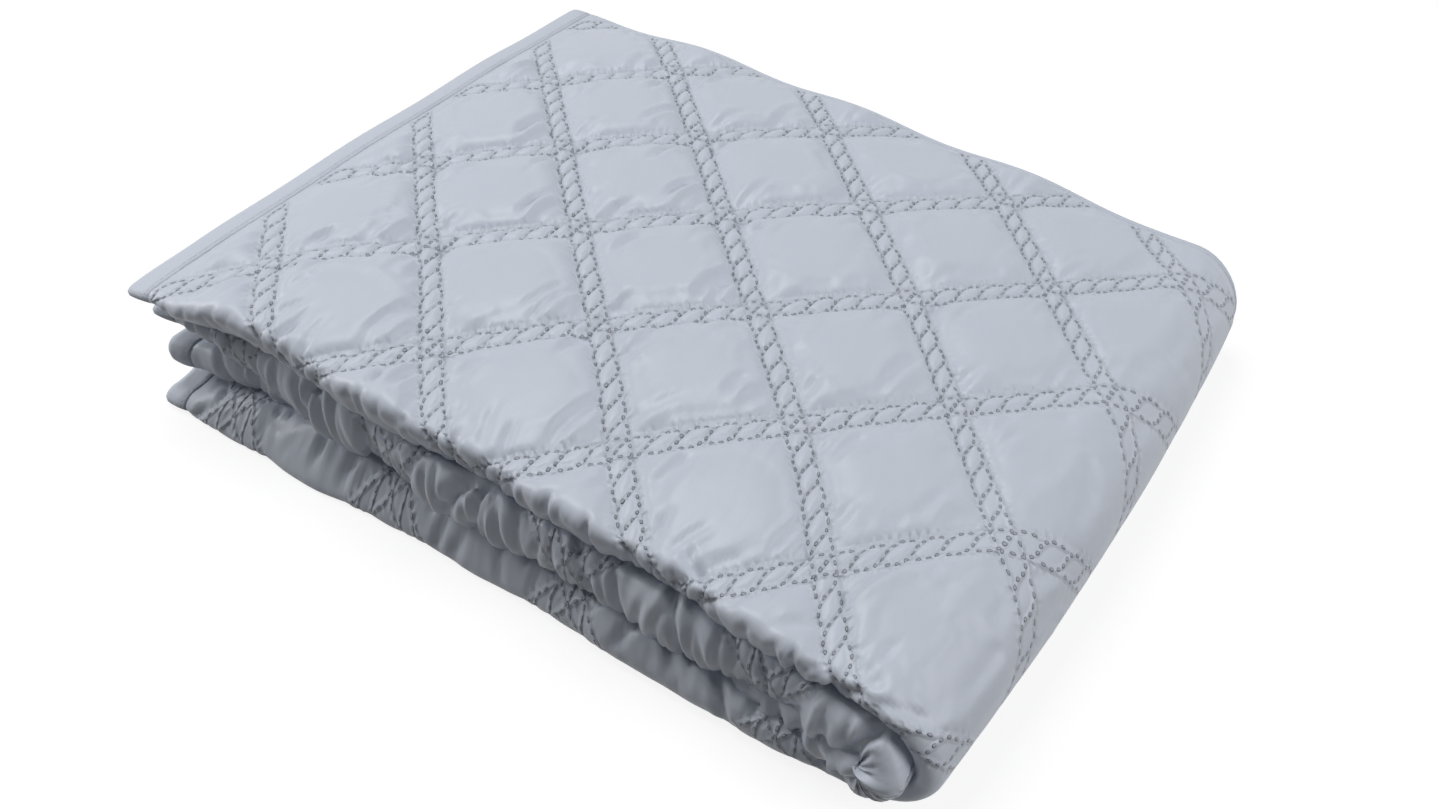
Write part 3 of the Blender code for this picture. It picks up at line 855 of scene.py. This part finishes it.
def relaxed_puffs(along_end, across_end):
    """How far the quilted face moves when it is let go between its bands: knots along, across, moves."""
    rows = np.arange(HEM_STRIP, along_end, SOFT_STEP)
    columns = np.arange(HEM_STRIP, across_end, SOFT_STEP)
    along, across = np.meshgrid(rows, columns, indexing="ij")
    start = folded(along, across, face_base + SOFT_SHARE * quilt_height(along, across))
    obj = grid_mesh("soft_face", start, along, across, None)
    border_along = np.minimum(along - rows[0], rows[-1] - along)
    border_across = np.minimum(across - columns[0], columns[-1] - across)
    held = beside_nearest_band(along, across) < BAND_HALF_WIDTH + HELD_BESIDE_BAND
    held |= np.minimum(border_along, border_across) < HELD_BORDER
    group = obj.vertex_groups.new(name="held")
    group.add(np.flatnonzero(held.ravel()).tolist(), 1.0, "REPLACE")
    cloth = obj.modifiers.new("cloth", "CLOTH")
    settings = cloth.settings
    settings.quality = 5
    settings.mass = 0.002
    settings.tension_stiffness = 8.0
    settings.compression_stiffness = 8.0
    settings.shear_stiffness = 3.0
    settings.bending_stiffness = 0.15
    settings.use_pressure = True
    settings.uniform_pressure_force = 4.0
    settings.shrink_min = -SOFT_SWELL
    settings.vertex_group_mass = "held"
    settings.effector_weights.gravity = 0.0
    cloth.point_cache.frame_start = 1
    cloth.point_cache.frame_end = SOFT_FRAMES
    for number in range(1, SOFT_FRAMES + 1):
        bpy.context.scene.frame_set(number)
    graph = bpy.context.evaluated_depsgraph_get()
    relaxed = obj.evaluated_get(graph).to_mesh()
    points = np.empty(len(relaxed.vertices) * 3)
    relaxed.vertices.foreach_get("co", points)
    moves = points.reshape(start.shape) - start
    obj.evaluated_get(graph).to_mesh_clear()
    bpy.data.objects.remove(obj, do_unlink=True)
    bpy.context.scene.frame_set(1)
    size = np.linalg.norm(moves, axis=2, keepdims=True)
    return rows, columns, moves * np.minimum(1, SOFT_CAP / np.maximum(size, 1e-9))


soft_across = HALF_LENGTH + SOFT_WRAP_SHARE * WRAP_LENGTH
knots_along, knots_across, moves = relaxed_puffs(OUTER_FOLD + SOFT_PAST_FOLD, soft_across)
in_rows = along[:, 0] <= knots_along[-1]
in_columns = across[0] <= knots_across[-1]
row_weights = spline_weights(along[in_rows, 0], knots_along)
column_weights = spline_weights(across[0, in_columns], knots_across)
eased = np.einsum("ri,ijk,cj->rck", row_weights, moves, column_weights, optimize=True)
face_points[: in_rows.sum(), : in_columns.sum()] += eased

low = face_points.reshape(-1, 3).min(axis=0)
high = face_points.reshape(-1, 3).max(axis=0)
shift = np.array([
    (cad_low.x + cad_high.x - low[0] - high[0]) / 2,
    (cad_low.y + cad_high.y - low[1] - high[1]) / 2,
    -low[2],
])
face_cloth = grid_mesh("quilted_face", face_points + shift, along, across, quilted_microfibre())
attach(face_cloth, "root")
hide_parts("face_cloth")

# Backing cloth
# A thin knitted polyester, the underside of the pad, welded to the other layers along the same bands.
# It lies inside the pack, and shows only where the plies fold on the far side.
BACKING_OFFSET = -PLY_THICKNESS / 2 + 0.0003
BACKING_AT_HEM = -0.0015
INSIDE_STEP = 0.014
BACKING_FOLD_STEP = 0.0022
HIDDEN_FOLD_STEP = FOLD_LENGTH / 5
FOLD_FINENESS = 1.6
BACKING_ACROSS_STEP = 0.005
FAR_FOLD = 2
FAR_FOLD_REACH = 0.03
KNIT = (0.68, 0.71, 0.76)
SHADED_KNIT_GROOVE = (0.52, 0.55, 0.60)
KNIT_GROOVE_SHADE = 0.35
KNIT_GROOVE_DEPTH = 0.0005
KNIT_HEIGHT = 0.0002
KNIT_NOISE = 900.0


def lines_with_fine_fold(coarse, fine):
    """Places along the pad, close together round the fold that shows on the far side."""
    runs = []
    end = 0.0
    for turn in range(1, PANEL_COUNT):
        fold_start = HEM_STRIP + turn * PERIOD - FOLD_LENGTH
        step = fine if turn == FAR_FOLD else HIDDEN_FOLD_STEP
        reach = FAR_FOLD_REACH if turn == FAR_FOLD else 0
        runs.append(steps_between(end, fold_start - reach, coarse))
        runs.append(steps_between(fold_start - reach, fold_start, fine))
        runs.append(steps_between(fold_start, fold_start + FOLD_LENGTH, step / FOLD_FINENESS))
        end = fold_start + FOLD_LENGTH + reach
        runs.append(steps_between(fold_start + FOLD_LENGTH, end, fine))
    runs.append(steps_between(end, PAD_LENGTH, coarse))
    return np.unique(np.round(np.concatenate(runs + [[PAD_LENGTH]]), 6))


knitted, tree, shader = new_material("knitted_backing")
place_across, place_along = flat_places(tree)
holes, groove, pucker = quilting_masks(tree, place_along, place_across)
knit = noise_at(tree, place_along, place_across, KNIT_NOISE, 1.0)
# The welded grooves of the backing are painted darker, as painted shade in the grooves.
set_colour(tree, shader, multiply(tree, groove, KNIT_GROOVE_SHADE), KNIT, SHADED_KNIT_GROOVE)
shader.inputs["Roughness"].default_value = 0.75
sunk = multiply(tree, groove, -KNIT_GROOVE_DEPTH)
set_relief(tree, shader, calculate(tree, "MULTIPLY_ADD", knit, KNIT_HEIGHT, sunk))

lines_across = np.concatenate([steps_between(0.0, PAD_WIDTH, BACKING_ACROSS_STEP), [PAD_WIDTH]])
along, across = np.meshgrid(
    lines_with_fine_fold(INSIDE_STEP, BACKING_FOLD_STEP), lines_across, indexing="ij"
)
pressed = hem_share(along, across, HEM_WIDTH)
offset = BACKING_OFFSET * (1 - pressed) + BACKING_AT_HEM * pressed
backing_points = folded(along, across, offset) + shift
backing = grid_mesh("backing_underside", backing_points, along, across, knitted)
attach(backing, "root")
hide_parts("backing_cloth")

# Waterproof membrane
# A cloudy polyurethane film, bonded to the inner face of the backing cloth. It lies wholly inside the
# pad and ends a little short of its edges.
FILM_INSET = 0.0015
FILM_RISE = 0.0006
FILM_AT_HEM = -0.0010
FILM_FOLD_STEP = 0.004
FILM_ACROSS_STEP = 0.010
FILM = (0.72, 0.75, 0.78)
FILM_NOISE = 40.0
FILM_ROUGHNESS = 0.2
FILM_CLOUDING = 0.2

film, tree, shader = new_material("breathable_film")
shader.inputs["Base Color"].default_value = (*FILM, 1)
place_across, place_along = flat_places(tree)
cloudy = noise_at(tree, place_along, place_across, FILM_NOISE, 2.0)
roughness = calculate(tree, "MULTIPLY_ADD", cloudy, FILM_CLOUDING, FILM_ROUGHNESS)
tree.links.new(roughness, shader.inputs["Roughness"])

film_end = PAD_WIDTH - FILM_INSET
lines_across = np.concatenate([steps_between(FILM_INSET, film_end, FILM_ACROSS_STEP), [film_end]])
along, across = np.meshgrid(
    lines_with_fine_fold(INSIDE_STEP, FILM_FOLD_STEP), lines_across, indexing="ij"
)
along = np.clip(along, FILM_INSET, PAD_LENGTH - FILM_INSET)
pressed = hem_share(along, across, HEM_WIDTH)
offset = (BACKING_OFFSET + FILM_RISE) * (1 - pressed) + FILM_AT_HEM * pressed
membrane = grid_mesh("membrane_film", folded(along, across, offset) + shift, along, across, film)
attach(membrane, "root")
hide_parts("waterproof_membrane")

# Wadding
# Bonded polyester fibre, cut like the membrane and laid between it and the face cloth. It is pressed
# thin under the hem tapes, and is modelled by thickening one sheet through its middle.
WADDING_CLEARANCE = 0.0012
WADDING_LOW = BACKING_OFFSET + WADDING_CLEARANCE
WADDING_HIGH = PLY_THICKNESS / 2 - BAND_DEPTH - WADDING_CLEARANCE
HEM_THINNING_SHARE = 0.7
FIBRE = (0.82, 0.83, 0.84)
FLUFF_HEIGHT = 0.0008
FLUFF_NOISE = 600.0

fibre, tree, shader = new_material("wadding_fibre")
shader.inputs["Base Color"].default_value = (*FIBRE, 1)
shader.inputs["Roughness"].default_value = 0.95
place_across, place_along = flat_places(tree)
fluff = noise_at(tree, place_along, place_across, FLUFF_NOISE, 4.0)
set_relief(tree, shader, multiply(tree, fluff, FLUFF_HEIGHT))

offset = (WADDING_LOW + WADDING_HIGH) / 2 * (1 - pressed)
wadding = grid_mesh("wadding_sheet", folded(along, across, offset) + shift, along, across, fibre)
thicken = wadding.modifiers.new("thickness", "SOLIDIFY")
thicken.thickness = WADDING_HIGH - WADDING_LOW
thicken.offset = 0.0
full = wadding.vertex_groups.new(name="full")
full_share = np.round(1 - HEM_THINNING_SHARE * pressed, 2).ravel()
for level in np.unique(full_share):
    full.add(np.flatnonzero(full_share == level).tolist(), float(level), "REPLACE")
thicken.vertex_group = "full"
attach(wadding, "root")
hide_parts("wadding")

# Hem tapes
# A microfibre tape folded over each of the pad's four edges and sewn down with one row of stitches,
# near the tape's inner edge. The two long tapes run on over the corners.
TAPE_THICKNESS = 0.0005
TAPE_INNER = 0.0019
TAPE_SWELL = 0.0007
TAPE_SWELL_LEAD = 0.35
TAPE_SWELL_BEYOND = 1.2
TAPE_STEPS = 7
TAPE_LINE_STEP = 0.0035
TAPE_FOLD_LINES = 9
TAPE_BEND = 0.0004
TAPE_BEND_SHARE = 0.8
STITCH_INSET = 0.0025
STITCH_PITCH = 0.0030
STITCH_LENGTH = 0.0022
STITCH_END = 0.0005
THREAD_HALF_WIDTH = 0.0004
THREAD_TOP = 0.0001
THREAD_HEIGHT = 0.0004
STITCH_GROOVE_HALF_WIDTH = 0.0014
STITCH_GROOVE_DEPTH = 0.0001
STITCH_SHADE = 0.4
TAPE_WEAVE_HEIGHT = 0.0001
TAPE_WEAVE_NOISE = 500.0
TAPE_RUMPLE_HEIGHT = 0.0012
TAPE_RUMPLE_NOISE = 120.0
SHADED_STITCH_GROOVE = (0.48, 0.51, 0.57)


def stitched_tape(name, runs_along):
    """The tape's cloth, with its row of stitches along or across the pad."""
    material, tree, shader = new_material(name)
    across, along = flat_places(tree)
    length = along if runs_along else across
    width = across if runs_along else along
    far = PAD_WIDTH if runs_along else PAD_LENGTH
    edge = calculate(tree, "MINIMUM", width, calculate(tree, "SUBTRACT", far, width))
    row = calculate(tree, "ABSOLUTE", calculate(tree, "SUBTRACT", edge, HEM_WIDTH - STITCH_INSET))
    place = calculate(tree, "WRAP", length, STITCH_PITCH / 2, -STITCH_PITCH / 2)
    half_stitch = STITCH_LENGTH / 2
    on_stitch = ramp(tree, calculate(tree, "ABSOLUTE", place), half_stitch, half_stitch - STITCH_END)
    thread = multiply(tree, ramp(tree, row, THREAD_HALF_WIDTH, THREAD_TOP), on_stitch)
    groove = ramp(tree, row, STITCH_GROOVE_HALF_WIDTH, 0.0)
    weave = noise_at(tree, along, across, TAPE_WEAVE_NOISE, 2.0)
    rumple = noise_at(tree, along, across, TAPE_RUMPLE_NOISE, 3.0)
    height = multiply(tree, groove, -STITCH_GROOVE_DEPTH)
    height = calculate(tree, "MULTIPLY_ADD", thread, THREAD_HEIGHT, height)
    height = calculate(tree, "MULTIPLY_ADD", weave, TAPE_WEAVE_HEIGHT, height)
    height = calculate(tree, "MULTIPLY_ADD", rumple, TAPE_RUMPLE_HEIGHT, height)
    set_relief(tree, shader, height)
    # The stitch groove is painted darker than the tape, as painted shade, and less so where the thread lies.
    shade = multiply(tree, calculate(tree, "SUBTRACT", groove, thread), STITCH_SHADE)
    set_colour(tree, shader, shade, MICROFIBRE, SHADED_STITCH_GROOVE)
    shader.inputs["Roughness"].default_value = 0.6
    return material


def hem_tape(name, node, lengthwise, runs_along, at_end, material):
    """One tape: a strip over the pad's edge, a little rounded on both of its faces."""
    steps = np.arange(TAPE_STEPS)
    middle = TAPE_INNER + TAPE_THICKNESS / 2
    leg_places = HEM_WIDTH * (1 - steps / TAPE_STEPS)
    angle = math.pi * (steps + TAPE_SWELL_LEAD) / (TAPE_STEPS + TAPE_SWELL_BEYOND)
    legs = middle + TAPE_SWELL * np.sin(angle)
    bend = TAPE_BEND_SHARE * middle
    inward = np.concatenate([leg_places, [TAPE_BEND, 0.0, TAPE_BEND], leg_places[::-1]])
    lift = np.concatenate([legs, [bend, 0.0, -bend], -legs[::-1]])
    length, width = np.meshgrid(lengthwise, inward, indexing="ij")
    offset = np.broadcast_to(lift, width.shape)
    far = PAD_WIDTH if runs_along else PAD_LENGTH
    width = far - width if at_end else width
    along, across = (length, width) if runs_along else (width, length)
    tape = grid_mesh(name, folded(along, across, offset) + shift, along, across, material)
    thicken = tape.modifiers.new("thickness", "SOLIDIFY")
    thicken.thickness = TAPE_THICKNESS
    thicken.offset = 0.0
    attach(tape, "root")
    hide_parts(node)
    return tape


round_folds = [
    HEM_STRIP + turn * PERIOD - FOLD_LENGTH * np.linspace(0, 1, TAPE_FOLD_LINES)
    for turn in range(1, PANEL_COUNT)
]
side_places = np.concatenate([steps_between(0.0, PAD_LENGTH, TAPE_LINE_STEP), *round_folds, [PAD_LENGTH]])
side_places = np.unique(np.round(side_places, 6))
end_stop = PAD_WIDTH - HEM_WIDTH
end_places = np.concatenate([steps_between(HEM_WIDTH, end_stop, TAPE_LINE_STEP), [end_stop]])
long_tape = stitched_tape("long_hem_tape", True)
short_tape = stitched_tape("short_hem_tape", False)
hems = [
    hem_tape("upper_side_tape", "upper_side_hem", side_places, True, False, long_tape),
    hem_tape("lower_side_tape", "lower_side_hem", side_places, True, True, long_tape),
    hem_tape("head_tape", "head_hem", end_places, False, False, short_tape),
    hem_tape("foot_tape", "foot_hem", end_places, False, True, short_tape),
]

# Floor, lights and camera
# A plain floor that renders white and keeps a faint shadow, a soft light above the pack, a weaker one
# low on each side, and a dim even room, so that the near face of the pack lies in shade.
FLOOR_HALF = 6.0
FLOOR_GREY = 0.20
FLOOR_GLOW = 0.86
ROOM_LEVEL = 0.06

floor_mesh = bpy.data.meshes.new("floor")
corners = [(x * FLOOR_HALF, y * FLOOR_HALF, 0) for x, y in ((-1, -1), (1, -1), (1, 1), (-1, 1))]
floor_mesh.from_pydata(corners, [], [(0, 1, 2, 3)])
floor = add_object("floor", floor_mesh)


def seen_directly(tree):
    """1 for rays that show the floor or the room itself, and 0 for rays that light the object."""
    path = tree.nodes.new("ShaderNodeLightPath")
    seen = calculate(tree, "MAXIMUM", path.outputs["Is Camera Ray"], path.outputs["Is Glossy Ray"])
    return calculate(tree, "MAXIMUM", seen, path.outputs["Is Transmission Ray"])


floor_material, tree, shader = new_material("pale_floor")
shader.inputs["Base Color"].default_value = (FLOOR_GREY, FLOOR_GREY, FLOOR_GREY, 1)
shader.inputs["Roughness"].default_value = 1.0
shader.inputs["Specular IOR Level"].default_value = 0.0
glow = tree.nodes.new("ShaderNodeEmission")
both = tree.nodes.new("ShaderNodeAddShader")
tree.links.new(multiply(tree, seen_directly(tree), FLOOR_GLOW), glow.inputs["Strength"])
tree.links.new(shader.outputs["BSDF"], both.inputs[0])
tree.links.new(glow.outputs["Emission"], both.inputs[1])
tree.links.new(both.outputs["Shader"], tree.nodes["Material Output"].inputs["Surface"])
floor_mesh.materials.append(floor_material)


def soft_light(name, place, size, power):
    """A square area light that faces the pack."""
    data = bpy.data.lights.new(name, "AREA")
    data.energy = power
    data.size = size
    lamp = add_object(name, data)
    lamp.location = place
    lamp.rotation_euler = (-Vector(place)).to_track_quat("-Z", "Y").to_euler()


soft_light("overhead_light", (-0.50, 0.15, 2.05), 0.9, 20)
soft_light("right_light", (1.6, 0.2, 0.95), 0.9, 13)
soft_light("left_light", (-1.40, -0.45, 0.85), 0.6, 9)

world = bpy.data.worlds.new("studio")
bpy.context.scene.world = world
world.use_nodes = True
tree = world.node_tree
background = tree.nodes["Background"]
strength = calculate(tree, "MULTIPLY_ADD", seen_directly(tree), 1 - ROOM_LEVEL, ROOM_LEVEL)
tree.links.new(strength, background.inputs["Strength"])
background.inputs["Color"].default_value = (1, 1, 1, 1)

# The camera, fitted to the crossings of the quilting in the photo. Its axes are the directions of the
# picture's right and down, and of the view.
CAMERA_PLACE = Vector((0.31093, -0.4544, 0.49227)) + Vector(shift.tolist())
PICTURE_RIGHT = Vector((0.82892, 0.559336, 0.005975))
PICTURE_DOWN = Vector((0.383781, -0.560916, -0.733542))
VIEW_AXIS = Vector((-0.406945, 0.610341, -0.679617))
FOCAL_PIXELS = 1383.5
PHOTO_WIDTH = 1439
SENSOR_WIDTH = 36

camera_data = bpy.data.cameras.new("camera")
camera = add_object("camera", camera_data)
bpy.context.scene.camera = camera
camera_data.sensor_width = SENSOR_WIDTH
camera_data.lens = SENSOR_WIDTH * FOCAL_PIXELS / PHOTO_WIDTH
turn = Matrix((PICTURE_RIGHT, -PICTURE_DOWN, -VIEW_AXIS)).transposed()
camera.matrix_world = Matrix.Translation(CAMERA_PLACE) @ turn.to_4x4()

bpy.context.scene.view_settings.view_transform = "Standard"
